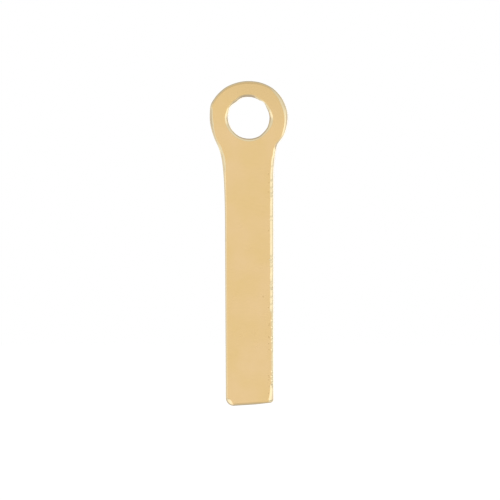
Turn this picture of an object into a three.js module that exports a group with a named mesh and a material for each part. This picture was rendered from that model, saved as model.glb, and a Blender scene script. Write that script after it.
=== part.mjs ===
// A letter I charm, blanked from gold-filled sheet: a straight bar that hangs from an eye at its top.
// Millimetres, +Z up, front towards -Y. The origin is the centre of the hanging hole, halfway through the sheet.
import * as THREE from "three";

// Sheet: brass with a thin layer of gold bonded to each face
const sheetThickness = 0.51;
const goldThickness = 0.0085;

// Eye: round but for three faint lobes, with the hanging hole punched a little above its middle
const eyeRadius = 1.019;
const eyeLobe = 0.0176;
const holeRadius = 0.55;
const holeRise = 0.042;

// Bar: its edges are measured sideways from the hole, and its left edge draws in slightly on the way down
const barLeft = 0.618;
const barRight = 0.645;
const barTaper = 0.027;

// Foot: measured down from the hole, with its right corner a little higher than its left.
// Each corner's radius is that of the flat inside it, and the rolled edge goes round outside.
const footDrop = 7.56;
const footRise = 0.082;
const leftCornerRadius = 0.11;
const rightCornerRadius = 0.02;

// Necks: each side leaves the eye at an angle below level and sweeps into the bar's edge
const leftNeck = { angle: 12, drop: 3.27, eyePull: 0.82, barPull: 2.9 };
const rightNeck = { angle: 39.3, drop: 1.49, eyePull: 0.12, barPull: 0.2 };

// Rolled edge that the punch leaves all round the front face, and round the front of the hole
const rollWidth = 0.07;
const rollDepth = 0.048;

// Fineness of the mesh, and the distance below which two points are one
const longestStep = 0.13;
const fewestSteps = 5;
const eyePoints = 24;
const rollSteps = 3;
const samePoint = 1e-6;

const gold = new THREE.MeshStandardMaterial({ color: "#e6c68f", metalness: 1, roughness: 0.3 });
const brass = new THREE.MeshStandardMaterial({ color: "#d9c095", metalness: 1, roughness: 0.4 });

// The point of the eye's rim at an angle, and the direction of anticlockwise travel there.
// The lobes are a wave of three periods round a circle, highest at both shoulders and hidden in the bar below.
function eyeRim(degrees) {
  const angle = THREE.MathUtils.degToRad(degrees);
  const outwards = new THREE.Vector2(Math.cos(angle), Math.sin(angle));
  const sideways = new THREE.Vector2(-outwards.y, outwards.x);
  const radius = eyeRadius + eyeLobe * Math.sin(3 * angle);
  const slope = 3 * eyeLobe * Math.cos(3 * angle);
  const point = new THREE.Vector2(0, -holeRise).addScaledVector(outwards, radius);
  const travel = sideways.multiplyScalar(radius).addScaledVector(outwards, slope).normalize();
  return { point, travel };
}

// Points along the eye's rim from one angle to another, without the first
function rimPoints(from, to) {
  return Array.from({ length: eyePoints }, (_, i) => {
    return eyeRim(THREE.MathUtils.lerp(from, to, (i + 1) / eyePoints)).point;
  });
}

// Draws to a corner of the foot and round it, with an arc that touches both of its sides.
function roundCorner(path, corner, next, flatRadius) {
  const radius = flatRadius + rollWidth;
  const back = path.currentPoint.clone().sub(corner).normalize();
  const ahead = next.clone().sub(corner).normalize();
  const reach = radius / Math.sin(back.angleTo(ahead) / 2);
  const centre = back.clone().add(ahead).setLength(reach).add(corner);
  const start = Math.atan2(back.x, -back.y);
  const end = Math.atan2(-ahead.x, ahead.y);
  path.absarc(centre.x, centre.y, radius, start, end, false);
}

// The outer cut line, anticlockwise as seen from the front, drawn across (x) and up (y).
function charmOutline() {
  const startAngle = -rightNeck.angle;
  const endAngle = 180 + leftNeck.angle;
  const eyeStart = eyeRim(startAngle);
  const eyeEnd = eyeRim(endAngle);
  const leftControl = eyeEnd.point.clone().addScaledVector(eyeEnd.travel, leftNeck.eyePull);
  const rightControl = eyeStart.point.clone().addScaledVector(eyeStart.travel, -rightNeck.eyePull);
  const leftFoot = new THREE.Vector2(barTaper - barLeft, -footDrop);
  const rightFoot = new THREE.Vector2(barRight, footRise - footDrop);
  const rightNeckFoot = new THREE.Vector2(barRight, -rightNeck.drop);

  const path = new THREE.Path();
  path.moveTo(eyeStart.point.x, eyeStart.point.y);
  path.splineThru(rimPoints(startAngle, endAngle));
  path.bezierCurveTo(
    leftControl.x,
    leftControl.y,
    -barLeft,
    leftNeck.barPull - leftNeck.drop,
    -barLeft,
    -leftNeck.drop,
  );
  roundCorner(path, leftFoot, rightFoot, leftCornerRadius);
  roundCorner(path, rightFoot, rightNeckFoot, rightCornerRadius);
  path.lineTo(rightNeckFoot.x, rightNeckFoot.y);
  path.bezierCurveTo(
    barRight,
    rightNeck.barPull - rightNeck.drop,
    rightControl.x,
    rightControl.y,
    eyeStart.point.x,
    eyeStart.point.y,
  );
  return path;
}

// The points of a closed path, without those that repeat the point before them
function loopPoints(path) {
  const points = path.curves.flatMap((curve) => {
    const steps = Math.max(fewestSteps, Math.ceil(curve.getLength() / longestStep));
    return curve.getPoints(curve.isLineCurve ? 1 : steps);
  });
  return points.filter((point, i) => point.distanceTo(points.at(i - 1)) > samePoint);
}

// A loop moved to its left, which is always into the sheet, keeping an even distance from the old line
function insetLoop(points, inset) {
  const leftOf = (from, to) => new THREE.Vector2(from.y - to.y, to.x - from.x).normalize();
  return points.map((point, i) => {
    const before = leftOf(points.at(i - 1), point);
    const after = leftOf(point, points[(i + 1) % points.length]);
    const mitre = before.clone().add(after).divideScalar(1 + before.dot(after));
    return mitre.multiplyScalar(inset).add(point);
  });
}

const outline = loopPoints(charmOutline());
const hole = loopPoints(new THREE.Path().absarc(0, 0, holeRadius, 0, 2 * Math.PI, true));

// A closed layer of the sheet. Each level is a step back from the front face with its inset from the cut edge.
// The first level borders the layer's front, the last its back, and walls join each level to the next.
function layerGeometry(levels) {
  const positions = [];
  const triangles = [];
  const rings = levels.map(({ inset, depth }) => {
    return [outline, hole].map((loop) => {
      const first = positions.length / 3;
      const points = insetLoop(loop, inset);
      for (const point of points) {
        positions.push(point.x, depth - sheetThickness / 2, point.y);
      }
      return { first, points };
    });
  });

  rings.slice(1).forEach((backRing, level) => {
    backRing.forEach((back, loop) => {
      const front = rings[level][loop];
      const count = back.points.length;
      for (let i = 0; i < count; i++) {
        const next = (i + 1) % count;
        triangles.push(front.first + i, back.first + i, front.first + next);
        triangles.push(front.first + next, back.first + i, back.first + next);
      }
    });
  });

  for (const [ring, facesBack] of [[rings[0], false], [rings.at(-1), true]]) {
    const [outer, inner] = ring;
    for (const [a, b, c] of THREE.ShapeUtils.triangulateShape(outer.points, [inner.points])) {
      const corners = facesBack ? [a, c, b] : [a, b, c];
      triangles.push(...corners.map((corner) => corner + outer.first));
    }
  }

  const geometry = new THREE.BufferGeometry();
  geometry.setAttribute("position", new THREE.Float32BufferAttribute(positions, 3));
  geometry.setIndex(triangles);
  geometry.computeVertexNormals();
  return geometry;
}

// The levels down the rolled edge, a quarter of an ellipse, starting this far behind the front face
function rolledEdge(startDepth) {
  return Array.from({ length: rollSteps + 1 }, (_, step) => {
    const turn = (step / rollSteps) * (Math.PI / 2);
    return {
      inset: rollWidth * (1 - Math.sin(turn)),
      depth: startDepth + rollDepth * (1 - Math.cos(turn)),
    };
  });
}

const backOfCore = { inset: 0, depth: sheetThickness - goldThickness };
const backOfSheet = { inset: 0, depth: sheetThickness };

const layers = {
  front_gold_layer: [[...rolledEdge(0), ...rolledEdge(goldThickness).reverse()], gold],
  brass_core: [[...rolledEdge(goldThickness), backOfCore], brass],
  back_gold_layer: [[backOfCore, backOfSheet], gold],
};

const charm = new THREE.Group();
for (const [name, [levels, material]] of Object.entries(layers)) {
  const layer = new THREE.Mesh(layerGeometry(levels), material);
  layer.name = name;
  charm.add(layer);
}

export default charm;
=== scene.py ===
# A letter I charm, blanked from gold-filled sheet, hanging upright in a white studio.
# Lengths are millimetres until a mesh, a lamp or the camera is made, and those are in metres.
# x runs to the right, y to the back and z up. The origin is the centre of the hanging hole, halfway through
# the sheet.
import math

import bpy
import numpy as np
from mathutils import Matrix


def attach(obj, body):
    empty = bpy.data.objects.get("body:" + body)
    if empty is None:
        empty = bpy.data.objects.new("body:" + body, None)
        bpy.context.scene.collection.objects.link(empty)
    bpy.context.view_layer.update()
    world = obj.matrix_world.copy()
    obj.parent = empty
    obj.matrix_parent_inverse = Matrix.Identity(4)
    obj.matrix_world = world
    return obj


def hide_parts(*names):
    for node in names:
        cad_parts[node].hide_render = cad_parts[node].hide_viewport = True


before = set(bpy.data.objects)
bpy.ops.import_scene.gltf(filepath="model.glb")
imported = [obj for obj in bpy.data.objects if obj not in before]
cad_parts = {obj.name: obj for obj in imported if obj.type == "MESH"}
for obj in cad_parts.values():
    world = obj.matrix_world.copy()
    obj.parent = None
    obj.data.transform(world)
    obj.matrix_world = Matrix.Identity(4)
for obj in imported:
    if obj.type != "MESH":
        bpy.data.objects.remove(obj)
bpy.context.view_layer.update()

METRES = 0.001

# Sheet: its thickness, the bonded gold's, and where its two faces lie
SHEET = 0.51
GOLD = 0.0085
FRONT = -SHEET / 2
BACK = SHEET / 2

# Eye: round but for three faint lobes, with the hanging hole a little above its middle
EYE_RADIUS = 1.019
EYE_LOBE = 0.0176
HOLE_RADIUS = 0.548
HOLE_RISE = 0.042

# Bar: its left edge draws in slightly on the way down
BAR_LEFT = 0.618
BAR_RIGHT = 0.645
BAR_TAPER = 0.020

# Foot: its right corner is higher than its left, and towards it the edge curls up as well
FOOT_DROP = 7.56
FOOT_RISE = 0.082
FOOT_CURL = 0.018
CURL_SPAN = (0.15, 0.62)
LEFT_CORNER = 0.205
RIGHT_CORNER = 0.085

# Necks: each leaves the eye at an angle below level and sweeps into the bar's edge
LEFT_NECK = {"angle": 12, "drop": 3.27, "eye_pull": 0.82, "bar_pull": 2.9}
RIGHT_NECK = {"angle": 39.3, "drop": 1.49, "eye_pull": 0.12, "bar_pull": 0.2}

# What tumbling took off the cut line all round
TUMBLED_AWAY = 0.0012

# Unevenness of the eye's rim: a place in radians from the right towards the top, and how far it stands out
RIM_BULGES = [
    (-0.62, -0.012),
    (-0.46, 0.012),
    (0.40, -0.009),
    (0.70, -0.006),
    (0.86, 0.003),
    (1.25, 0.002),
    (1.7, 0.001),
    (2.2, 0.007),
    (2.5, 0.011),
    (2.77, 0.030),
    (3.36, 0.003),
    (3.55, 0.003),
]
RIM_BULGE_SPREAD = 0.16

# Unevenness of the hole's edge, where the punch tore the metal: the same, but in degrees
HOLE_BULGES = [
    (14, -0.006),
    (29, -0.013),
    (45, 0.018),
    (60, -0.016),
    (76, -0.007),
    (92, -0.004),
    (105, 0.004),
    (128, -0.019),
    (153, 0.018),
    (174, 0.006),
    (206, -0.005),
    (224, -0.009),
    (243, -0.002),
    (260, 0.001),
    (284, 0.006),
    (300, 0.010),
    (330, 0.006),
]
HOLE_BULGE_SPREAD = 10

# How far below the hole the sides' columns take over from the eye's, and what the columns run in to:
# a collar round the hole, and a spine down the middle of the bar
SHOULDER_DROP = 1.1
HOLE_COLLAR = 0.11
SPINE_X = 0.0135
SPINE_END = -6.95

# How the columns spread round the collar: the eye's first and last bearings, and those a step in from them,
# go to these angles
BEARING_STEP = 25
COLLAR_ANGLES = [-90, -38, 218, 270]

# Numbers of points on the curves, and of columns
RIM_POINTS = 900
LEFT_NECK_POINTS = 500
RIGHT_NECK_POINTS = 300
CORNER_POINTS = 60
EYE_COLUMNS = 420
SIDE_COLUMNS = 450
FOOT_COLUMNS = 110

# Sine waves of like heights seldom meet at their crests, so their sum is raised
RIPPLE_GAIN = 1.8

# How far inside their highest level the faces' ground lies on the whole, and the least that it may
PLAY = 0.0022
LEAST_PLAY = 0.0002

# The ground's waves: each set has a height, a seed, its shortest and longest waves, and their number
FRONT_WAVES = [(0.0011, 3, 0.5, 1.6, 14), (0.00022, 5, 0.07, 0.16, 24)]
BACK_WAVES = [(0.0009, 11, 0.6, 1.9, 14), (0.0002, 13, 0.06, 0.14, 24)]

# Dings of the front: how far right and how high each lies, its radius and its depth
DINGS = [
    (-0.20, -2.84, 0.035, 0.0030),
    (0.014, -3.44, 0.040, 0.0030),
    (0.33, -3.91, 0.035, 0.0025),
    (0.38, -4.68, 0.028, 0.0045),
    (-0.368, -4.75, 0.035, 0.0030),
    (0.451, -5.19, 0.030, 0.0035),
    (0.166, -5.63, 0.035, 0.0030),
    (-0.20, -5.70, 0.030, 0.0030),
    (0.218, -5.96, 0.040, 0.0035),
]

# The low ridge round each ding: its height as a share of the depth, its place in radii, and its narrowness
RIDGE_SHARE = 0.25
RIDGE_PLACE = 1.6
RIDGE_NARROWNESS = 4

# Dark pits, most of them just inside the right lip: how far right and how high each lies
PITS = [
    (0.530, -1.476),
    (0.538, -1.70),
    (0.528, -1.947),
    (0.530, -2.955),
    (0.528, -4.97),
    (0.545, -5.40),
    (0.536, -5.44),
    (0.530, -5.73),
    (0.540, -5.76),
    (0.532, -5.91),
    (0.538, -6.07),
    (0.530, -6.75),
    (0.542, -6.79),
    (0.533, -6.86),
    (0.545, -7.03),
    (0.530, -7.21),
    (0.382, -4.682),
]
PIT_RADIUS = 0.015
PIT_DEPTH = 0.0022

# The lips by the direction that their edge faces, and the hole's by the place round it, in degrees from the
# right towards the top. Each row has that direction, the width, the bevel's depth, the share of the width at
# which the worn edge starts, how far the bevel is burnished, and how worn the edge is. The burnished bevel's
# paler tone is partly a painted highlight and the worn edge's darker tone partly painted shade, set by the
# way each edge faces the lamps.
EYE_LIP = [
    (-45, 0.030, 0.012, 0.30, 0.3, 0.75),
    (-30, 0.042, 0.018, 0.40, 0.6, 0.70),
    (-20, 0.056, 0.025, 0.56, 1.0, 0.70),
    (-10, 0.069, 0.030, 0.56, 1.0, 0.86),
    (0, 0.084, 0.037, 0.58, 1.0, 0.84),
    (10, 0.095, 0.038, 0.56, 1.0, 0.68),
    (20, 0.102, 0.037, 0.52, 0.9, 0.74),
    (30, 0.098, 0.034, 0.50, 0.9, 0.66),
    (45, 0.082, 0.034, 0.50, 0.8, 0.64),
    (60, 0.056, 0.031, 0.60, 0.4, 0.81),
    (90, 0.076, 0.034, 0.62, 0.0, 0.78),
    (110, 0.070, 0.031, 0.52, 0.0, 0.74),
    (135, 0.066, 0.032, 0.45, 0.2, 0.76),
    (155, 0.064, 0.028, 0.45, 0.4, 0.76),
    (170, 0.070, 0.024, 0.40, 0.4, 0.60),
    (180, 0.096, 0.022, 0.32, 0.8, 0.80),
    (190, 0.104, 0.019, 0.38, 1.0, 0.81),
    (200, 0.066, 0.020, 0.26, 0.5, 0.74),
    (215, 0.050, 0.018, 0.24, 0.3, 0.72),
]
BAR_LIP = [
    (-90, 0.060, 0.028, 0.48, 0.0, 0.89),
    (-25, 0.060, 0.031, 0.74, 1.0, 0.48),
    (0, 0.084, 0.0365, 0.60, 0.92, 0.66),
    (180, 0.046, 0.024, 0.08, 0.2, 0.80),
    (186, 0.072, 0.036, 0.30, 0.5, 0.74),
    (192, 0.094, 0.048, 0.50, 0.9, 0.76),
    (202, 0.110, 0.057, 0.62, 1.0, 0.84),
    (212, 0.117, 0.063, 0.66, 1.0, 0.86),
    (221, 0.118, 0.064, 0.68, 1.0, 0.86),
    (232, 0.116, 0.062, 0.68, 1.0, 0.86),
    (244, 0.107, 0.055, 0.64, 0.9, 0.86),
    (254, 0.090, 0.045, 0.56, 0.6, 0.87),
    (262, 0.076, 0.034, 0.50, 0.3, 0.85),
    (270, 0.060, 0.028, 0.48, 0.0, 0.89),
]
HOLE_LIP = [
    (0, 0.104, 0.052, 0.54, 1.0, 0.92),
    (15, 0.080, 0.046, 0.60, 1.0, 0.78),
    (30, 0.068, 0.026, 0.56, 0.9, 0.62),
    (45, 0.026, 0.016, 0.80, 1.0, 0.50),
    (60, 0.050, 0.016, 0.50, 0.6, 0.44),
    (75, 0.062, 0.028, 0.06, 0.0, 0.94),
    (90, 0.074, 0.032, 0.24, 0.0, 0.84),
    (105, 0.066, 0.030, 0.24, 0.0, 0.90),
    (120, 0.070, 0.027, 0.34, 0.2, 0.68),
    (135, 0.066, 0.026, 0.26, 0.0, 0.76),
    (150, 0.034, 0.018, 0.60, 0.5, 0.62),
    (165, 0.050, 0.030, 0.85, 1.0, 0.56),
    (180, 0.076, 0.037, 0.56, 1.0, 0.86),
    (195, 0.084, 0.036, 0.54, 1.0, 0.66),
    (210, 0.074, 0.024, 0.50, 1.0, 0.56),
    (225, 0.070, 0.020, 0.52, 1.0, 0.66),
    (240, 0.068, 0.018, 0.50, 1.0, 0.75),
    (270, 0.084, 0.019, 0.60, 1.0, 0.92),
    (300, 0.068, 0.020, 0.42, 0.7, 0.82),
    (330, 0.084, 0.020, 0.56, 1.0, 0.76),
    (345, 0.112, 0.030, 0.60, 1.0, 0.66),
    (360, 0.104, 0.052, 0.54, 1.0, 0.92),
]

# The necks' own lips, worn by whatever the charm hung beside, their tones partly painted highlight and
# shade:
# a side, a height, half its length, and the lip's five figures. The heights after them are where the eye's
# lip gives way to the bar's.
NECK_LIPS = [
    (-1, -0.82, 0.13, (0.084, 0.026, 0.80, 0.9, 0.54)),
    (-1, -1.18, 0.22, (0.100, 0.036, 0.56, 1.0, 0.76)),
    (1, -0.73, 0.06, (0.046, 0.018, 0.16, 0.0, 0.94)),
    (1, -0.876, 0.042, (0.062, 0.040, 0.86, 1.0, 0.48)),
    (1, -0.985, 0.06, (0.054, 0.034, 0.62, 1.0, 0.46)),
    (1, -1.38, 0.22, (0.070, 0.031, 0.54, 1.0, 0.67)),
]
NECK_SPAN = (-1.0, -1.5)

# The width of the hole's lip also rises and falls a few times on the way round
HOLE_LIP_SWELL = 0.003
HOLE_LIP_SWELLS = 5
HOLE_LIP_PHASE = 0.6

# The ragged inner border of the outer lip: its waves, its share of the width all round, and what the bar's
# right side adds to it and to the bevel's depth. Between two heights it is more even.
RAG_WAVES = (21, 0.07, 0.3, 20)
RAG = 0.03
RIGHT_RAG = 0.10
RIGHT_DEPTH_RAG = 0.08
EVEN_SPAN = (-2.4, -3.65)
EVEN_FADE = 0.2
EVENED_OUT = 0.65

# Marks down the bar's right lip, each a height and a size: gaps that knock its bevel flat by that share,
# beads that were left standing, and nicks that widen it by that length. A full bead gives the bevel back the
# bead's rise, as a share of its depth.
GAPS = [
    (-1.28, 0.35),
    (-1.65, 0.4),
    (-1.84, 0.3),
    (-1.99, 0.4),
    (-2.07, 0.3),
    (-2.60, 0.25),
    (-3.635, 0.35),
    (-3.72, 0.25),
    (-3.80, 0.25),
    (-3.90, 0.3),
    (-4.30, 0.25),
    (-4.36, 0.25),
    (-4.475, 0.75),
    (-4.70, 0.3),
    (-4.89, 0.25),
]
GAP_HALF_LENGTH = 0.03
BEADS = [
    (-5.31, 0.8),
    (-5.49, 0.7),
    (-5.755, 1.0),
    (-5.86, 0.7),
    (-6.08, 1.0),
    (-6.36, 0.3),
    (-6.645, 0.9),
    (-6.776, 1.0),
    (-6.881, 1.0),
    (-7.02, 0.8),
]
BEAD_HALF_LENGTH = 0.026
BEAD_RISE = 0.75
NICKS = [
    (-1.88, 0.015),
    (-2.67, 0.022),
    (-3.72, 0.036),
    (-4.39, 0.018),
    (-5.01, 0.018),
]
NICK_HALF_LENGTH = 0.014

# The heights between which that lip is knocked flat but for its beads, and what it loses there: shares of
# its width, depth and burnish, and steps off where its worn edge starts and off how worn that is. So it
# loses some of its painted highlight and painted shade too, and the beads keep their painted highlight.
FLATTENED_SPAN = (-5.08, -6.98)
FLATTENED_FADE = 0.05
FLATTENED_LOSS = {"width": 0.25, "depth": 0.60, "burnish_sheen": 0.5, "worn_shade_from": 0.11, "edge_wear_shade": 0.12}

# The wedge that it widens to above the foot: its width and depth at the end, the heights that it grows
# between, the powers of the way down by which it grows, and its own worn edge, partly painted shade
WEDGE_WIDTH = 0.125
WEDGE_DEPTH = 0.070
WEDGE_SPAN = (-7.02, -7.36)
WEDGE_WIDTH_POWER = 3.5
WEDGE_DEPTH_POWER = 1.6
WEDGE_WORN_SHADE_EARLIER = 0.06
WEDGE_WORN_SHADE_SPAN = (0, 0.2)
WEDGE_WEAR_SHADE = 0.08

# The foot's lip narrows towards the wedge by the loss, over a span, and is this wide where they meet
FOOT_LIP_LOSS = 0.022
FOOT_LOSS_SPAN = (0.2, 0.52)
CORNER_LIP = 0.026

# The edges that count as facing right or down, by that part of their normal: from not yet to fully
FACING_RIGHT = (0.9, 1.0)
FACING_DOWN = (0.7, 0.9)

# The back's lip: its width, its other figures as in the tables, and the depths of both faces' rounded edges
BACK_WIDTH = 0.02
BACK_PROFILE = (0.002, 0.5, 0.0, 0.8)
FRONT_EDGE = 0.022
BACK_EDGE = 0.013

# The share of a lip's width at which its bevel starts to turn round to the wall
EDGE_START = 0.74

# Wear from 0 to 1, for the finish: that of a fully burnished bevel, the share of the lip over which a bevel
# takes it on, and how far before and after its start the worn edge comes in. Up to a burnished bevel's wear
# the gold grows paler, partly a painted highlight, and beyond it darker, partly painted shade.
BURNISHED_SHEEN = 0.5
BURNISH_SHEEN_SPAN = (0, 0.2)
WORN_SHADE_BEFORE = 0.1
WORN_SHADE_AFTER = 0.15

# Rows from the cut edge inwards, as shares of the lip: the rounded edge, then the bevel and its border
EDGE_ROW_COUNT = 9
BEVEL_ROW_COUNT = 9
EDGE_TURNS = np.sin(np.linspace(math.pi / 2, 0, EDGE_ROW_COUNT))
EDGE_ROWS = 1 - (EDGE_START + (1 - EDGE_START) * EDGE_TURNS)
BEVEL_ROWS = np.linspace(1 - EDGE_START, 1, BEVEL_ROW_COUNT + 1)[1:]
LIP_ROWS = np.concatenate([EDGE_ROWS, BEVEL_ROWS])
BACK_LIP_ROWS = LIP_ROWS[::2]
HIDDEN_LIP_ROWS = LIP_ROWS[::3]

# Rows on from the border, as shares of the way to the inner points, closer together near the lip
FLAT_ROW_COUNT = 24
FLAT_CROWDING = 1.45
FLAT_ROWS = np.linspace(0, 1, FLAT_ROW_COUNT + 1)[1:] ** FLAT_CROWDING
COLLAR_ROWS = np.array([0.5, 1.0])
HIDDEN_FLAT_ROWS = np.array([1.0])

# The cut wall, by shares of the way from its front to its back: where it starts to tear and how far that
# wanders, and where it leans into the metal and by what length
WALL_ROWS = 22
TEAR_SPAN = (0.42, 0.55)
TEAR_WANDER = 0.06
TEAR_WAVES = (31, 0.2, 0.9, 14)
LEAN_SPAN = (0.4, 1.0)
LEAN = 0.005

# The wall's unevenness where it is torn, and all over. Both fade out at its two edges.
TORN_HEIGHT = 0.0007
TORN_WAVES = (33, 0.05, 0.2, 24)
WALL_HEIGHT = 0.0004
WALL_WAVES = (35, 0.04, 0.3, 24)
WALL_FADE = 0.08

# Where the hole's run along its edge starts, so that its waves aren't the outline's
HOLE_RUN_START = 40

# Points that agree to a millionth of a millimetre are made one, and steeper folds than this stay sharp
KEYS_PER_MILLIMETRE = 1e6
SHARP_DEGREES = 50

# Camera: the photograph's size, its scale and the hole's place in it, the view, and what is too near or far
# to be seen
PHOTO_PIXELS = 500
PIXEL = 0.02617
HOLE_PIXEL_X = 248.47
HOLE_PIXEL_Y = 117.59
VIEW_AZIMUTH = 4.0
LENS = 400.0
SENSOR = 36.0
NEAREST = 10.0
FARTHEST = 10000.0

# World: its level at the horizon before and behind, and how far it dims up or down and at the sides
HORIZON_LEVEL = 1.01
OVERHEAD_DIM = 0.32
SIDE_DIM = 0.28

# Floor: its level and half its width, the lift that whitens it, and how far that dims where the floor under
# the charm is reflected, a painted shadow there, less and less between two distances from its middle
FLOOR_Z = -32.0
FLOOR_HALF = 1500.0
FLOOR_LIFT = 0.42
UNDER_SHADOW = 0.30
UNDER_SHADOW_SPAN = (10.0, 110.0)

# Softboxes: bearing from the front towards the right, and elevation, in degrees, then width, height and
# radiance. They face the middle of the charm from one distance.
SOFTBOXES = {
    "right softbox": (57, 0, 20, 34, 0.41),
    "low left softbox": (-54, -40, 26, 15, 0.50),
    "left softbox": (-66, 4, 18, 22, 0.36),
    "rear softbox": (175, 0, 14, 34, 0.30),
}
SOFTBOX_DISTANCE = 32
CHARM_MIDDLE = (EYE_RADIUS - FOOT_DROP) / 2


# Curves and waves

def smooth(low, high, value):
    """0 at the first limit and before it, 1 at the second and past it, and the cubic S between them."""
    t = np.clip((value - low) / (high - low), 0, 1)
    return t * t * (3 - 2 * t)


def stretch(z, top, bottom, fade):
    """1 between two heights and 0 beyond them, with an S across each that reaches the fade either way."""
    return smooth(top + fade, top - fade, z) * smooth(bottom - fade, bottom + fade, z)


def marks(run, places, half_length):
    """A row of rounded marks along a line: a bell curve of its own size round each place."""
    return sum(size * np.exp(-(((run - place) / half_length) ** 2)) for place, size in places)


def waves(seed, count, shortest, longest):
    """Wave numbers across and up, phases, and shares of the longest wave's length, drawn from one seed."""
    chance = np.random.default_rng(seed)
    length = shortest * (longest / shortest) ** chance.random(count)
    heading = chance.random(count) * 2 * math.pi
    phase = chance.random(count) * 2 * math.pi
    number = 2 * math.pi / length
    return number * np.cos(heading), number * np.sin(heading), phase, length / length.max()


def ripple(x, z, seed, shortest, longest, count):
    """Uneven ground from about -1 to 1: a sum of sine waves in many directions, the longer the higher."""
    total = np.zeros_like(x)
    weight = 0
    for kx, kz, phase, share in zip(*waves(seed, count, shortest, longest)):
        total += share * np.sin(kx * x + kz * z + phase)
        weight += share
    return total / weight * RIPPLE_GAIN


def ripple_along(run, *waves_of):
    """The same unevenness along a line."""
    return ripple(run, 0 * run, *waves_of)


def bezier(first, second, third, last, count):
    """Points of a cubic curve, from its four controls weighted by the cubic's four terms."""
    t = np.linspace(0, 1, count)[:, None]
    near = first * (1 - t) ** 3 + 3 * second * t * (1 - t) ** 2
    return near + 3 * third * t**2 * (1 - t) + last * t**3


def along(points, count):
    """Points at even distances along a line of points, both ends among them."""
    travelled = np.concatenate([[0], np.cumsum(np.linalg.norm(np.diff(points, axis=0), axis=1))])
    wanted = np.linspace(0, travelled[-1], count)
    return np.stack([np.interp(wanted, travelled, points[:, axis]) for axis in (0, 1)], -1)


def outward(points):
    """Unit normals of a closed anticlockwise line, each square to the step between its neighbours."""
    move = np.roll(points, -1, 0) - np.roll(points, 1, 0)
    normal = np.stack([move[:, 1], -move[:, 0]], -1)
    return normal / np.linalg.norm(normal, axis=1, keepdims=True)


# Outline

def eye_rim(angle):
    """Points of the eye's rim: a circle whose radius rises and falls three times, and has its bulges."""
    bulges = marks(angle, RIM_BULGES, RIM_BULGE_SPREAD)
    radius = EYE_RADIUS + EYE_LOBE * np.sin(3 * angle) + bulges
    return np.stack([radius * np.cos(angle), radius * np.sin(angle) - HOLE_RISE], -1)


def rim_travel(angle):
    """Unit direction of anticlockwise travel along the eye's rim at one angle."""
    step = 1e-4
    move = eye_rim(np.array(angle + step)) - eye_rim(np.array(angle - step))
    return move / np.linalg.norm(move)


def hole_rim(turn):
    """Points of the hole's cut line: a circle with its bulges added."""
    radius = HOLE_RADIUS + marks(np.degrees(turn) % 360, HOLE_BULGES, HOLE_BULGE_SPREAD)
    return radius[:, None] * np.stack([np.cos(turn), np.sin(turn)], -1)


def round_corner(corner, before, after, radius):
    """Points of the arc that touches both sides of a corner, between its two points of touch."""
    back = (before - corner) / np.linalg.norm(before - corner)
    ahead = (after - corner) / np.linalg.norm(after - corner)
    half = math.acos(float(back @ ahead)) / 2
    middle = (back + ahead) / np.linalg.norm(back + ahead)
    centre = corner + middle * radius / math.sin(half)
    start = math.atan2(back[0], -back[1])
    sweep = math.pi - 2 * half
    angle = start + np.linspace(0, sweep, CORNER_POINTS)
    return centre + radius * np.stack([np.cos(angle), np.sin(angle)], -1)


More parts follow.
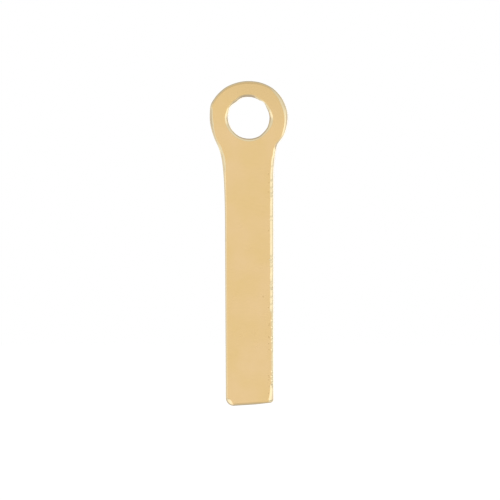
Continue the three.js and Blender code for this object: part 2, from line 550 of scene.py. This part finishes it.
def cut_columns():
    """The outline's points, anticlockwise from the right shoulder, and the inner point of each column.

    Over the eye the inner points lie round the hole's collar. Down each side they lie on a spine in the
    middle of the bar, at the same places for both sides, and round the foot they are the spine's end.
    """
    start = math.radians(-RIGHT_NECK["angle"])
    end = math.radians(180 + LEFT_NECK["angle"])
    rim = eye_rim(np.linspace(start, end, RIM_POINTS))
    left_foot = np.array([BAR_TAPER - BAR_LEFT, -FOOT_DROP])
    right_foot = np.array([BAR_RIGHT, FOOT_RISE - FOOT_DROP])
    left_end = np.array([-BAR_LEFT, -LEFT_NECK["drop"]])
    right_end = np.array([BAR_RIGHT, -RIGHT_NECK["drop"]])
    left_neck = bezier(
        rim[-1],
        rim[-1] + rim_travel(end) * LEFT_NECK["eye_pull"],
        left_end + np.array([0, LEFT_NECK["bar_pull"]]),
        left_end,
        LEFT_NECK_POINTS,
    )
    right_neck = bezier(
        right_end,
        right_end + np.array([0, RIGHT_NECK["bar_pull"]]),
        rim[0] - rim_travel(start) * RIGHT_NECK["eye_pull"],
        rim[0],
        RIGHT_NECK_POINTS,
    )
    left_corner = round_corner(left_foot, left_end, right_foot, LEFT_CORNER)
    right_corner = round_corner(right_foot, left_foot, right_end, RIGHT_CORNER)
    foot = along(np.concatenate([left_corner, right_corner]), FOOT_COLUMNS)
    foot[:, 1] += FOOT_CURL * smooth(*CURL_SPAN, foot[:, 0])

    top = -SHOULDER_DROP
    left_side = np.concatenate([left_neck, left_corner[:1]])
    left_z = np.linspace(top, left_corner[0, 1], SIDE_COLUMNS)
    left = np.stack([np.interp(-left_z, -left_side[:, 1], left_side[:, 0]), left_z], -1)
    right_side = np.concatenate([foot[-1:], right_neck])
    right_z = np.linspace(foot[-1, 1], top, SIDE_COLUMNS)
    right = np.stack([np.interp(right_z, right_side[:, 1], right_side[:, 0]), right_z], -1)
    above_right = right_neck[right_neck[:, 1] > top]
    above_left = left_neck[left_neck[:, 1] > top]
    over = along(np.concatenate([right[-1:], above_right, rim[1:-1], above_left, left[:1]]), EYE_COLUMNS)
    points = np.concatenate([over[:-1], left[:-1], foot[:-1], right[:-1]])

    bearing = np.degrees(np.unwrap(np.arctan2(over[:, 1], over[:, 0])))
    knots = [bearing[0], bearing[0] + BEARING_STEP, bearing[-1] - BEARING_STEP, bearing[-1]]
    turn = np.radians(np.interp(bearing, knots, COLLAR_ANGLES))
    collar = (HOLE_RADIUS + HOLE_COLLAR) * np.stack([np.cos(turn), np.sin(turn)], -1)
    collar[-1] = collar[0]
    spine_z = np.linspace(collar[0, 1], SPINE_END, SIDE_COLUMNS)
    share = np.linspace(0, 1, SIDE_COLUMNS)
    spine = np.stack([collar[0, 0] + (SPINE_X - collar[0, 0]) * share, spine_z], -1)
    pole = np.repeat(spine[-1:], FOOT_COLUMNS - 1, 0)
    inner = np.concatenate([collar[:-1], spine[:-1], pole, spine[:0:-1]])
    return points, inner, turn[:-1]


# Surface of the faces

def uneven(x, z, wave_sets):
    """The play, with the sets of waves added to it."""
    ground = PLAY
    for height, *waves_of in wave_sets:
        ground = ground + height * ripple(x, z, *waves_of)
    return ground


def pits(x, z):
    """1 at the middle of each dark pit, falling away as a bell curve."""
    return sum(np.exp(-((x - px) ** 2 + (z - pz) ** 2) / PIT_RADIUS**2) for px, pz in PITS)


def front_ground(x, z):
    """How far the front lies behind its highest level: waves, with the dings and pits as round hollows.

    A ding is a bell curve less a ring, which is a bell curve of the distance from the ridge.
    """
    ground = uneven(x, z, FRONT_WAVES)
    for ding_x, ding_z, radius, depth in DINGS:
        reach = ((x - ding_x) ** 2 + (z - ding_z) ** 2) / radius**2
        ridge = np.exp(-((np.sqrt(reach) - RIDGE_PLACE) ** 2) * RIDGE_NARROWNESS)
        ground = ground + depth * np.exp(-reach) - RIDGE_SHARE * depth * ridge
    return np.clip(ground + PIT_DEPTH * pits(x, z), LEAST_PLAY, None)


def back_ground(x, z):
    """How far the back lies inside its highest level: waves alone, because the punch's pad held it."""
    return np.clip(uneven(x, z, BACK_WAVES), LEAST_PLAY, None)


# Each face: its ground, its level, the depth of its rounded edge, and the way that its depths run
FRONT_FACE = {"ground": front_ground, "level": FRONT, "edge": FRONT_EDGE, "inwards": 1}
BACK_FACE = {"ground": back_ground, "level": BACK, "edge": BACK_EDGE, "inwards": -1}


# Lips

def lip_depth(share, bevel, edge):
    """Depth of a lip from its share of the way out, 0 at its inner border and 1 at the cut edge.

    The bevel grows evenly, and a quarter ellipse takes its last part round to the wall.
    """
    turn = np.clip((share - EDGE_START) / (1 - EDGE_START), 0, 1)
    return bevel * share + edge * (1 - np.sqrt(1 - turn**2))


def lip_of(table, direction):
    """Each column's figures for its direction, straight between the table's rows."""
    rows = np.array(table).T
    return np.stack([np.interp(direction, rows[0], values) for values in rows[1:]])


def knocked_lip(lip, z, right_bar, travelled):
    """The lip with its ragged border all round, and the wear of the bar's right side, partly painted light.

    There the bevel is broken by gaps and the border by nicks, and lower down the lip is flattened but for
    its beads: each figure times its lasting share, or less its step.
    """
    width, depth, worn_shade_from, burnish_sheen, edge_wear_shade = lip
    loss = FLATTENED_LOSS
    rag = ripple_along(travelled, *RAG_WAVES) * (1 - EVENED_OUT * stretch(z, *EVEN_SPAN, EVEN_FADE))
    flattened = stretch(z, *FLATTENED_SPAN, FLATTENED_FADE)
    beads = marks(z, BEADS, BEAD_HALF_LENGTH)
    width = width * (1 + RIGHT_RAG * rag * right_bar + RAG * rag - loss["width"] * flattened * right_bar)
    width = width + marks(z, NICKS, NICK_HALF_LENGTH) * right_bar
    standing = 1 - loss["depth"] * flattened - marks(z, GAPS, GAP_HALF_LENGTH) + BEAD_RISE * beads
    depth = depth * (1 - right_bar * (1 - standing) + RIGHT_DEPTH_RAG * rag * right_bar)
    # The flattened stretch loses some painted highlight and painted shade with its wear, but the beads keep
    # theirs
    worn_shade_from = worn_shade_from - loss["worn_shade_from"] * flattened * right_bar
    burnish_sheen = burnish_sheen * (1 - loss["burnish_sheen"] * flattened * right_bar * (1 - np.minimum(beads, 1)))
    edge_wear_shade = edge_wear_shade - loss["edge_wear_shade"] * flattened * right_bar
    return width, depth, worn_shade_from, burnish_sheen, edge_wear_shade


def wedged_lip(lip, z, right_bar):
    """The lip with its wedge: it moves to the wedge's width and depth by powers of the way to the foot."""
    width, depth, worn_shade_from, burnish_sheen, edge_wear_shade = lip
    way = np.clip((WEDGE_SPAN[0] - z) / (WEDGE_SPAN[0] - WEDGE_SPAN[1]), 0, 1) * right_bar
    width = width + (WEDGE_WIDTH - width) * way**WEDGE_WIDTH_POWER
    depth = depth + (WEDGE_DEPTH - depth) * way**WEDGE_DEPTH_POWER
    # The wedge's worn edge starts earlier and is darker: partly painted shade
    worn_shade_from = worn_shade_from - WEDGE_WORN_SHADE_EARLIER * smooth(*WEDGE_WORN_SHADE_SPAN, way)
    return width, depth, worn_shade_from, burnish_sheen, edge_wear_shade + WEDGE_WEAR_SHADE * way


def outer_lip(points, normal, travelled):
    """The lip round the outline: each column's width, and its profile.

    Both tables are read by direction and mixed over the necks, where the necks' own lips take over in part.
    Then come the right side's wear, partly painted light, the wedge above the foot, and the foot's narrower
    lip beside it.
    """
    x, z = points.T
    direction = (np.degrees(np.arctan2(normal[:, 1], normal[:, 0])) + 90) % 360 - 90
    on_bar = smooth(*NECK_SPAN, z)
    lip = lip_of(EYE_LIP, direction) * (1 - on_bar) + lip_of(BAR_LIP, direction) * on_bar
    for side, height, half_length, neck_lip in NECK_LIPS:
        near = marks(z, [(height, 1)], half_length) * (side * x > 0)
        lip = lip + (np.array(neck_lip)[:, None] - lip) * near
    right_bar = smooth(*FACING_RIGHT, normal[:, 0]) * on_bar * (x > 0)
    width, *profile = wedged_lip(knocked_lip(lip, z, right_bar, travelled), z, right_bar)
    width = width - FOOT_LIP_LOSS * smooth(*FOOT_LOSS_SPAN, x) * smooth(*FACING_DOWN, -normal[:, 1])
    return width, profile


def hole_lip(turn):
    """The lip round the hole at each angle: the table's, with a sine wave added to its width."""
    width, *profile = lip_of(HOLE_LIP, np.degrees(turn) % 360)
    return width + HOLE_LIP_SWELL * np.sin(HOLE_LIP_SWELLS * turn + HOLE_LIP_PHASE), profile


def lip_border(cut, normal, width):
    """The lip's inner border: the cut line moved inwards by the width.

    The foot's right corner is tighter than its lip is wide. There the wedge's border runs straight down
    and ends where it meets the foot's.
    """
    border = cut - normal * width[:, None]
    corner_x = BAR_RIGHT - WEDGE_WIDTH
    corner_z = FOOT_RISE + FOOT_CURL + CORNER_LIP - FOOT_DROP
    near = (cut[:, 0] > corner_x) & (cut[:, 1] < WEDGE_SPAN[1])
    border[near, 0] = corner_x
    border[near, 1] = np.maximum(cut[near, 1], corner_z)
    return border


# Strips and pieces

class Grid:
    """A closed strip of points: rows from the cut edge inwards, columns round a line.

    Each point also has how worn it is, partly painted highlight and shade, and how pitted it is.
    """

    def __init__(self, points, wear_sheen_shade, pitted=None):
        self.points = points
        self.wear_sheen_shade = wear_sheen_shade
        self.pitted = 0 * wear_sheen_shade if pitted is None else pitted


def strip(cut, border, inner, profile, lip_rows, flat_rows, face):
    """A face's strip from the cut edge to the lip's border and on to the inner points.

    The rows run straight from line to line. The depth is the lip's plus the ground's, measured inwards from
    the level of the face. The wear is 0 on the flat, up to the burnished one on the bevel, and more at the
    edge: a paler tone that is partly painted highlight, then a darker one that is partly painted shade.
    """
    depth, worn_shade_from, burnish_sheen, edge_wear_shade = profile
    lip = cut[None] + (border - cut)[None] * lip_rows[:, None, None]
    flat = border[None] + (inner - border)[None] * flat_rows[:, None, None]
    x, z = np.moveaxis(np.concatenate([lip, flat]), -1, 0)
    share = np.concatenate([1 - lip_rows, 0 * flat_rows])[:, None]
    down = lip_depth(share, depth[None], face["edge"]) + face["ground"](x, z)
    # The bevel's paler burnished tone is partly painted highlight, the worn edge's darker tone partly
    # painted shade
    bevel_sheen = BURNISHED_SHEEN * burnish_sheen[None] * smooth(*BURNISH_SHEEN_SPAN, share)
    at_edge = smooth(worn_shade_from[None] - WORN_SHADE_BEFORE, worn_shade_from[None] + WORN_SHADE_AFTER, share)
    wear_sheen_shade = bevel_sheen + (edge_wear_shade[None] - bevel_sheen) * at_edge
    pitted = pits(x, z) if face is FRONT_FACE else None
    return Grid(np.stack([x, face["level"] + face["inwards"] * down, z], -1), wear_sheen_shade, pitted)


def moved(grid, distance):
    """The same strip, farther back by a distance."""
    return Grid(grid.points + np.array([0, distance, 0]), grid.wear_sheen_shade, grid.pitted)


def join(first, last):
    """A strip from the first line of points straight to the last, fully worn, so in the edge's painted
    shade.
    """
    return Grid(np.stack([first, last]), np.ones((2, len(first))))


def wall(cut, normal, travelled, front_y, back_y):
    """The cut wall of the core, from its front edge to its back edge.

    It stands straight where the punch burnished it, then leans into the metal where it tore. Waves along
    the cut make it uneven all over, and waves along it and through the sheet more so where it tore.
    """
    share = np.linspace(0, 1, WALL_ROWS)[:, None]
    y = front_y[None] * (1 - share) + back_y[None] * share
    torn = smooth(*TEAR_SPAN, share + TEAR_WANDER * ripple_along(travelled, *TEAR_WAVES)[None])
    rough = ripple(travelled[None] + 0 * y, y, *TORN_WAVES)
    free = smooth(0, WALL_FADE, share) * smooth(1, 1 - WALL_FADE, share)
    inset = LEAN * smooth(*LEAN_SPAN, share) + TORN_HEIGHT * torn * free * (1 + rough)
    inset = inset + WALL_HEIGHT * free * (1 + ripple_along(travelled, *WALL_WAVES))[None]
    place = cut[None] - normal[None] * inset[..., None]
    return Grid(np.stack([place[..., 0], y, place[..., 1]], -1), np.zeros_like(y))


def skin(grids):
    """The points and triangles of strips, each given with whether it is turned to face the other way.

    Every square of a strip becomes two triangles, points that coincide are made one, and triangles that
    lose a corner that way, as at the spine's end, are left out. The last result is the points kept.
    """
    points = np.concatenate([grid.points.reshape(-1, 3) for grid, _ in grids])
    triangles = []
    first = 0
    for grid, turned in grids:
        rows, columns = grid.points.shape[:2]
        row, column = np.meshgrid(np.arange(rows - 1), np.arange(columns), indexing="ij")
        a = first + row * columns + column
        b = first + row * columns + (column + 1) % columns
        c = a + columns
        d = b + columns
        squares = np.stack([a, c, b, b, c, d] if turned else [a, b, c, b, d, c], -1)
        triangles.append(squares.reshape(-1, 3))
        first += rows * columns
    keys = np.round(points * KEYS_PER_MILLIMETRE).astype(np.int64)
    _, kept, where = np.unique(keys, axis=0, return_index=True, return_inverse=True)
    triangles = where.reshape(-1)[np.concatenate(triangles)]
    a, b, c = triangles.T
    return points[kept], triangles[(a != b) & (b != c) & (c != a)], kept


def add_piece(name, grids, material, nodes):
    """Makes one closed mesh from strips, with its finish attributes, its material and its place."""
    points, triangles, kept = skin(grids)
    mesh = bpy.data.meshes.new(name)
    mesh.vertices.add(len(points))
    mesh.vertices.foreach_set("co", (points * METRES).astype(np.float32).ravel())
    mesh.loops.add(triangles.size)
    mesh.loops.foreach_set("vertex_index", triangles.astype(np.int32).ravel())
    mesh.polygons.add(len(triangles))
    mesh.polygons.foreach_set("loop_start", np.arange(0, triangles.size, 3, dtype=np.int32))
    mesh.update(calc_edges=True)
    mesh.validate()
    # The wear, with its painted highlight and painted shade, and the pits go to the finish as attributes
    for finish in ("wear_sheen_shade", "pitted"):
        values = np.concatenate([getattr(grid, finish).reshape(-1) for grid, _ in grids])
        layer = mesh.attributes.new(finish, "FLOAT", "POINT")
        layer.data.foreach_set("value", values[kept].astype(np.float32))
    mesh.shade_smooth()
    mesh.set_sharp_from_angle(angle=math.radians(SHARP_DEGREES))
    mesh.materials.append(material)
    piece = bpy.data.objects.new(name, mesh)
    bpy.context.scene.collection.objects.link(piece)
    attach(piece, "root")
    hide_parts(*nodes)
    return piece


# Shader recipes

class Wire:
    """One node's output. Python's operators on it add Math nodes."""

    def __init__(self, recipe, socket):
        self.recipe = recipe
        self.socket = socket

    def math(self, operation, *others):
        """A Math node on this output and others."""
        inputs = dict(enumerate((self, *others)))
        return self.recipe.node("ShaderNodeMath", {"operation": operation}, inputs)

    def __add__(self, other):
        return self.math("ADD", other)

    __radd__ = __add__

    def __mul__(self, other):
        return self.math("MULTIPLY", other)

    __rmul__ = __mul__

    def __sub__(self, other):
        return self.math("SUBTRACT", other)

    def __rsub__(self, other):
        return self.recipe.node("ShaderNodeMath", {"operation": "SUBTRACT"}, {0: other, 1: self})


class Recipe:
    """The nodes of one material or world."""

    def __init__(self, owner):
        owner.use_nodes = True
        self.tree = owner.node_tree
        self.tree.nodes.clear()

    def node(self, kind, settings, inputs, output=0):
        """Adds a node: its settings first, then its sockets' values or links. Gives the named output."""
        made = self.tree.nodes.new(kind)
        for setting, value in settings.items():
            setattr(made, setting, value)
        for socket, value in inputs.items():
            if isinstance(value, Wire):
                self.tree.links.new(value.socket, made.inputs[socket])
            else:
                made.inputs[socket].default_value = value
        return Wire(self, made.outputs[output]) if made.outputs else None

    def millimetres(self):
        """The place on the object in millimetres."""
        place = self.node("ShaderNodeTexCoord", {}, {}, "Object")
        return self.stretched(place, (1 / METRES,) * 3)

    def stretched(self, vector, scale):
        """A place with each of its parts times its own scale."""
        return self.node("ShaderNodeMapping", {}, {"Vector": vector, "Scale": scale})

    def attribute(self, name):
        """A number that the mesh holds at each of its points."""
        return self.node("ShaderNodeAttribute", {"attribute_name": name}, {}, "Fac")

    def noise(self, vector, scale, detail, roughness=0.5):
        """Cloudy noise round a half, with about as many features to the unit as its scale."""
        inputs = {"Vector": vector, "Scale": scale, "Detail": detail, "Roughness": roughness}
        return self.node("ShaderNodeTexNoise", {}, inputs)

    def span(self, value, low, high, to_low=0.0, to_high=1.0):
        """A value's range moved to another range, smoothly and within its ends."""
        inputs = {"Value": value, 1: low, 2: high, 3: to_low, 4: to_high}
        return self.node("ShaderNodeMapRange", {"interpolation_type": "SMOOTHSTEP"}, inputs)

    def mix_colour(self, factor, first, second):
        """The first colour at a factor of 0, the second at 1."""
        return self.node("ShaderNodeMix", {"data_type": "RGBA"}, {0: factor, 6: first, 7: second}, 2)

    def bump(self, height, distance):
        """A normal from a height, each 1 of which stands for a distance in millimetres."""
        return self.node("ShaderNodeBump", {}, {"Height": height, "Distance": distance * METRES})

    def finish_surface(self, shader):
        """Ends the recipe in a shader."""
        self.node("ShaderNodeOutputMaterial", {}, {"Surface": shader})

    def finish_metal(self, tone, rough, normal):
        """Ends the recipe in bare metal of a tone, a roughness and a normal."""
        inputs = {"Base Color": tone, "Metallic": 1.0, "Roughness": rough, "Normal": normal}
        self.finish_surface(self.node("ShaderNodeBsdfPrincipled", {}, inputs))


def opaque(red, green, blue):
    """A colour that hides what is behind it."""
    return (red, green, blue, 1.0)


# Finishes

GOLD_COLOUR = opaque(0.790, 0.565, 0.275)
GOLD_PALE = opaque(0.806, 0.578, 0.302)
GOLD_DEEP = opaque(0.776, 0.555, 0.250)
# The eye's darker gold is painted shade
GOLD_EYE_SHADE = opaque(0.745, 0.533, 0.252)
GOLD_PITTED = opaque(0.600, 0.410, 0.180)
# The burnished tone is partly painted highlight, and the edge's colour partly painted shade
GOLD_BURNISHED_SHEEN = opaque(0.800, 0.680, 0.432)
EDGE_WEAR_SHADE_COLOUR = opaque(0.515, 0.402, 0.266)
BRASS_BRIGHT = opaque(0.800, 0.660, 0.430)
BRASS_TORN = opaque(0.640, 0.490, 0.285)
WHITE = opaque(1, 1, 1)
FLOOR_GREY = opaque(0.8, 0.8, 0.8)

# The gold takes on the eye's darker tone, a painted shade, as the place's dot product with this rises from 0
# to 1: upwards from the hole's centre, and a little towards the right
EYE_SHADE_WAY = (0.5, 0, 1)

# Features to the millimetre of the gold's cloudy tone, its mottling and its satin grain, and of the torn
# edge's grit
CLOUD_SCALE = 1.1
MOTTLE_SCALE = 6.0
GRAIN_SCALE = 34.0
GRIT_SCALE = 42.0

# The values between which each noise and the pits come in, and the least and the most that the mottling
# and the streaks then change the tone
CLOUD_SPAN = (0.35, 0.65)
MOTTLE_SPAN = (0.3, 0.7)
MOTTLE_CHANGE = (0.2, 0.7)
GRAIN_SPAN = (0.3, 0.7)
PITTED_SPAN = (0.15, 0.75)
STREAK_SPAN = (0.3, 0.75)
STREAK_CHANGE = (0.0, 0.35)

# The gold's roughness from its smoothest to its roughest grain, and the height of that grain
GOLD_ROUGHNESS = (0.22, 0.27)
GOLD_GRAIN = 0.00022

# The cut edge's streaks run through the sheet, and its tear wanders along the cut alone. Both are noise
# with this many features to the millimetre across, through the sheet and up.
STREAK_SCALE = (26.0, 1.6, 26.0)
TEAR_SCALE = (5.0, 0.0, 5.0)

# The height of the cut edge's marks, and how many times higher its torn grit is than its streaks
BRASS_GRAIN = 0.0006
GRIT_RISE = 2.2

# How far behind the sheet's middle the cut edge turns from burnished to torn, with the wander's noise added
TORN_FROM = 0.07
TORN_FULLY = 0.115
TORN_WANDER = 0.16

# The cut edge's roughness where it is burnished, and what a torn place and a streak add to it
BRASS_ROUGHNESS = 0.10
TORN_ROUGHER = 0.10
STREAK_ROUGHER = 0.05


def gold_finish():
    """Soft-polished gold: cloudy tone, tumbled satin, painted shade over the eye, a paler bevel that is
    partly painted highlight, and a duller line, partly painted shade, where the edge thins the gold.
    """
    material = bpy.data.materials.new("gold")
    recipe = Recipe(material)
    place = recipe.millimetres()
    cloud = recipe.noise(place, scale=CLOUD_SCALE, detail=2.0)
    mottle = recipe.noise(place, scale=MOTTLE_SCALE, detail=3.0, roughness=0.6)
    grain = recipe.noise(place, scale=GRAIN_SCALE, detail=4.0, roughness=0.65)
    tone = recipe.mix_colour(recipe.span(cloud, *CLOUD_SPAN), GOLD_DEEP, GOLD_PALE)
    tone = recipe.mix_colour(recipe.span(mottle, *MOTTLE_SPAN, *MOTTLE_CHANGE), tone, GOLD_COLOUR)
    # Painted shade: the gold darkens over the eye, upwards and a little to the right
    on_way = {0: place, 1: EYE_SHADE_WAY}
    height = recipe.node("ShaderNodeVectorMath", {"operation": "DOT_PRODUCT"}, on_way, "Value")
    tone = recipe.mix_colour(recipe.span(height, 0.0, 1.0), tone, GOLD_EYE_SHADE)
    tone = recipe.mix_colour(recipe.span(recipe.attribute("pitted"), *PITTED_SPAN), tone, GOLD_PITTED)
    # Paler on burnished bevels, partly painted highlight, and darker at the worn edge, partly painted shade
    wear_sheen_shade = recipe.attribute("wear_sheen_shade")
    tone = recipe.mix_colour(recipe.span(wear_sheen_shade, 0.0, BURNISHED_SHEEN), tone, GOLD_BURNISHED_SHEEN)
    tone = recipe.mix_colour(recipe.span(wear_sheen_shade, BURNISHED_SHEEN, 1.0), tone, EDGE_WEAR_SHADE_COLOUR)
    rough = recipe.span(grain, *GRAIN_SPAN, *GOLD_ROUGHNESS)
    recipe.finish_metal(tone, rough, recipe.bump(grain, GOLD_GRAIN))
    return material


def brass_finish():
    """Cut edge of brass: bright and streaked where the punch burnished it, dull and grainy where torn."""
    material = bpy.data.materials.new("brass")
    recipe = Recipe(material)
    place = recipe.millimetres()
    streaks = recipe.noise(recipe.stretched(place, STREAK_SCALE), scale=1.0, detail=4.0, roughness=0.6)
    border = recipe.noise(recipe.stretched(place, TEAR_SCALE), scale=1.0, detail=3.0, roughness=0.6)
    grit = recipe.noise(place, scale=GRIT_SCALE, detail=4.0, roughness=0.7)
    depth = recipe.node("ShaderNodeSeparateXYZ", {}, {"Vector": place}, "Y")
    torn = recipe.span(depth + TORN_WANDER * border, TORN_FROM, TORN_FULLY)
    tone = recipe.mix_colour(torn, BRASS_BRIGHT, BRASS_TORN)
    tone = recipe.mix_colour(recipe.span(streaks, *STREAK_SPAN, *STREAK_CHANGE), tone, BRASS_TORN)
    rough = BRASS_ROUGHNESS + TORN_ROUGHER * torn + STREAK_ROUGHER * streaks
    height = streaks * (1 - torn) + GRIT_RISE * grit * torn
    recipe.finish_metal(tone, rough, recipe.bump(height, BRASS_GRAIN))
    return material


# Charm

def build_charm():
    """Lays the columns round the outline and the hole, and makes the three layers from strips between them.

    The gold's underside and the core's face are one surface, so the three layers fit without a gap.
    """
    points, inner, turn = cut_columns()
    normal = outward(points)
    cut = points - normal * TUMBLED_AWAY
    gap = np.linalg.norm(np.roll(points, -1, 0) - points, axis=1)
    travelled = np.concatenate([[0], np.cumsum(gap)[:-1]])
    towards_hole = -np.stack([np.cos(turn), np.sin(turn)], -1)
    collar = inner[: len(turn)]
    hole_run = turn * HOLE_RADIUS + HOLE_RUN_START

    outline = (cut, normal, inner, *outer_lip(points, normal, travelled), travelled, FLAT_ROWS, False)
    hole = (hole_rim(turn), towards_hole, collar, *hole_lip(turn), hole_run, COLLAR_ROWS, True)
    front, core, back = [], [], []
    for line, facing, target, width, profile, run, flat_rows, is_hole in (outline, hole):
        lines = (line, lip_border(line, facing, width), target, profile)
        seen = strip(*lines, LIP_ROWS, flat_rows, FRONT_FACE)
        under = moved(strip(*lines, HIDDEN_LIP_ROWS, HIDDEN_FLAT_ROWS, FRONT_FACE), GOLD)
        rolled = join(seen.points[0], under.points[0])
        front += [(seen, not is_hole), (under, is_hole), (rolled, is_hole)]

        back_line = line - facing * LEAN
        even_profile = [np.full(len(line), value) for value in BACK_PROFILE]
        lines = (back_line, back_line - facing * BACK_WIDTH, target, even_profile)
        behind = strip(*lines, BACK_LIP_ROWS, flat_rows, BACK_FACE)
        bond = moved(strip(*lines, HIDDEN_LIP_ROWS, HIDDEN_FLAT_ROWS, BACK_FACE), -GOLD)
        trimmed = join(bond.points[0], behind.points[0])
        back += [(behind, is_hole), (bond, not is_hole), (trimmed, is_hole)]

        side = wall(line, facing, run, under.points[0][:, 1], bond.points[0][:, 1])
        core += [(under, not is_hole), (bond, is_hole), (side, is_hole)]

    gold = gold_finish()
    brass = brass_finish()
    add_piece("front_gold", front, gold, ["front_gold_layer"])
    add_piece("brass_middle", core, brass, ["brass_core"])
    add_piece("back_gold", back, gold, ["back_gold_layer"])


# Studio

def dome_world():
    """White before and behind, and dimmer up, down and at the sides, by squares of the direction's parts.

    Where the camera sees it, it is plain white.
    """
    world = bpy.data.worlds.new("studio")
    bpy.context.scene.world = world
    recipe = Recipe(world)
    seen = recipe.node("ShaderNodeLightPath", {}, {}, "Is Camera Ray")
    direction = recipe.node("ShaderNodeTexCoord", {}, {}, "Generated")
    up = recipe.node("ShaderNodeSeparateXYZ", {}, {"Vector": direction}, "Z")
    side = recipe.node("ShaderNodeSeparateXYZ", {}, {"Vector": direction}, "X")
    dome = HORIZON_LEVEL - OVERHEAD_DIM * up * up - SIDE_DIM * side * side
    level = seen + (1 - seen) * dome
    light = recipe.node("ShaderNodeBackground", {}, {"Color": WHITE, "Strength": level})
    recipe.node("ShaderNodeOutputWorld", {}, {"Surface": light})


def floor():
    """A plain pale floor, lifted to white where the camera or a reflection meets it, shadows kept.
    Reflections see a painted shadow under the charm.
    """
    material = bpy.data.materials.new("pale floor")
    recipe = Recipe(material)
    seen = recipe.node("ShaderNodeLightPath", {}, {}, "Is Camera Ray")
    glossy = recipe.node("ShaderNodeLightPath", {}, {}, "Is Glossy Ray")
    through = recipe.node("ShaderNodeLightPath", {}, {}, "Is Transmission Ray")
    across = recipe.stretched(recipe.millimetres(), (1.0, 1.0, 0.0))
    away = recipe.node("ShaderNodeVectorMath", {"operation": "LENGTH"}, {0: across}, "Value")
    near = recipe.span(away, *UNDER_SHADOW_SPAN, 1.0, 0.0)
    # Reflections of the floor near the charm are dimmed: a painted shadow under it
    lift = (seen + through) * FLOOR_LIFT + glossy * (FLOOR_LIFT - UNDER_SHADOW * near)
    diffuse = recipe.node("ShaderNodeBsdfDiffuse", {}, {"Color": FLOOR_GREY})
    glow = recipe.node("ShaderNodeEmission", {}, {"Color": WHITE, "Strength": lift})
    recipe.finish_surface(recipe.node("ShaderNodeAddShader", {}, {0: diffuse, 1: glow}))
    mesh = bpy.data.meshes.new("floor")
    half = FLOOR_HALF * METRES
    level = FLOOR_Z * METRES
    corners = [(-half, -half, level), (half, -half, level), (half, half, level), (-half, half, level)]
    mesh.from_pydata(corners, [], [(0, 1, 2, 3)])
    mesh.materials.append(material)
    slab = bpy.data.objects.new("floor", mesh)
    bpy.context.scene.collection.objects.link(slab)


def softbox(name, azimuth, elevation, width, height, radiance):
    """A soft rectangular light that faces the middle of the charm and that the camera doesn't see.

    Its power is its radiance times its area times pi.
    """
    data = bpy.data.lights.new(name, "AREA")
    data.shape = "RECTANGLE"
    data.size = width * METRES
    data.size_y = height * METRES
    data.energy = radiance * math.pi * data.size * data.size_y
    lamp = bpy.data.objects.new(name, data)
    turn = math.radians(azimuth)
    tilt = math.radians(elevation)
    reach = SOFTBOX_DISTANCE * METRES
    lamp.location = (
        reach * math.sin(turn) * math.cos(tilt),
        -reach * math.cos(turn) * math.cos(tilt),
        reach * math.sin(tilt) + CHARM_MIDDLE * METRES,
    )
    lamp.rotation_euler = (math.pi / 2 - tilt, 0, turn)
    lamp.visible_camera = False
    bpy.context.scene.collection.objects.link(lamp)


def camera():
    """The photograph's camera: level, a little to the right, and so far away that it hardly converges.

    It aims away from the hole by what lies between the hole's pixel and the middle of the photograph.
    """
    data = bpy.data.cameras.new("camera")
    data.lens = LENS
    data.sensor_width = SENSOR
    data.sensor_fit = "HORIZONTAL"
    data.clip_start = NEAREST * METRES
    data.clip_end = FARTHEST * METRES
    turn = math.radians(VIEW_AZIMUTH)
    across = np.array([math.cos(turn), math.sin(turn), 0])
    behind = np.array([math.sin(turn), -math.cos(turn), 0])
    aim = np.array([0, FRONT, 0]) + across * (PHOTO_PIXELS / 2 - HOLE_PIXEL_X) * PIXEL
    aim = aim + np.array([0, 0, (HOLE_PIXEL_Y - PHOTO_PIXELS / 2) * PIXEL])
    distance = PHOTO_PIXELS * PIXEL * LENS / SENSOR
    viewer = bpy.data.objects.new("camera", data)
    viewer.location = (aim + behind * distance) * METRES
    viewer.rotation_euler = (math.pi / 2, 0, turn)
    bpy.context.scene.collection.objects.link(viewer)
    bpy.context.scene.camera = viewer


build_charm()
dome_world()
floor()
for name, figures in SOFTBOXES.items():
    softbox(name, *figures)
camera()
bpy.context.scene.view_settings.view_transform = "Standard"
